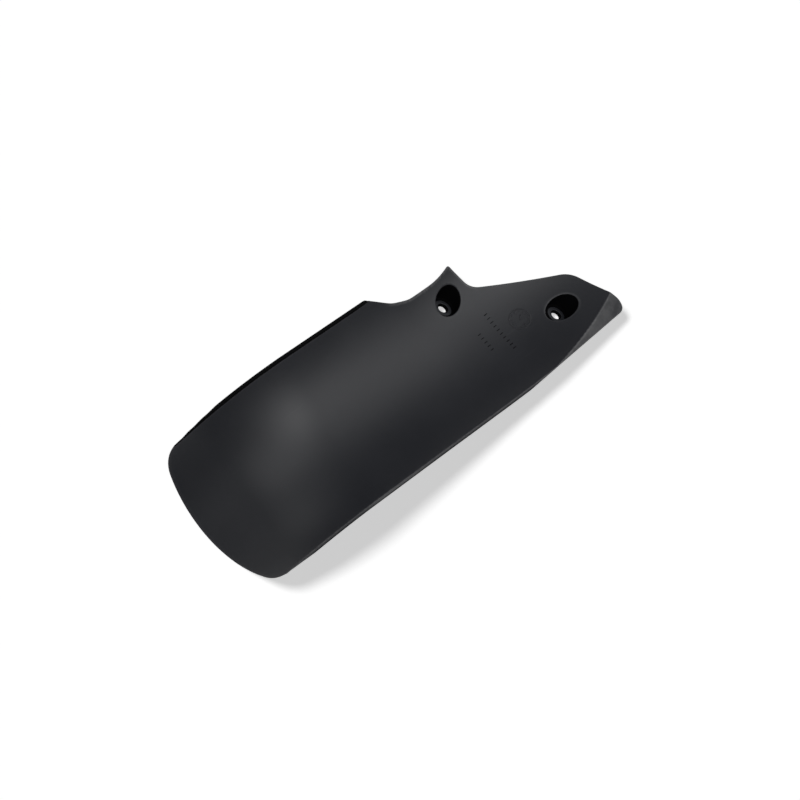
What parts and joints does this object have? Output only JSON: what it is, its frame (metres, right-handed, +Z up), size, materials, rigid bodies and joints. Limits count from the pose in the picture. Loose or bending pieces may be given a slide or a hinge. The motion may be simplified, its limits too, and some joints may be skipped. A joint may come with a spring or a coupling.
{
  "type": "rear mud flap",
  "caption": "Long trough-shaped black plastic mud flap with a wide rounded end bent down, a notched and pointed narrow end, and two deep bolt cups.",
  "frame": {"origin": "on the surface that the flap lies on, under the middle of its bounding box", "axes": "+X from the wide end to the narrow end, +Y across to the longer long edge, +Z up, with the hollow side up"},
  "size_m": [0.3332, 0.121, 0.0592],
  "materials": {
    "black_plastic": "satin"
  },
  "bodies": {
    "root": {"mud_flap": "black_plastic"}
  },
  "joints": []
}
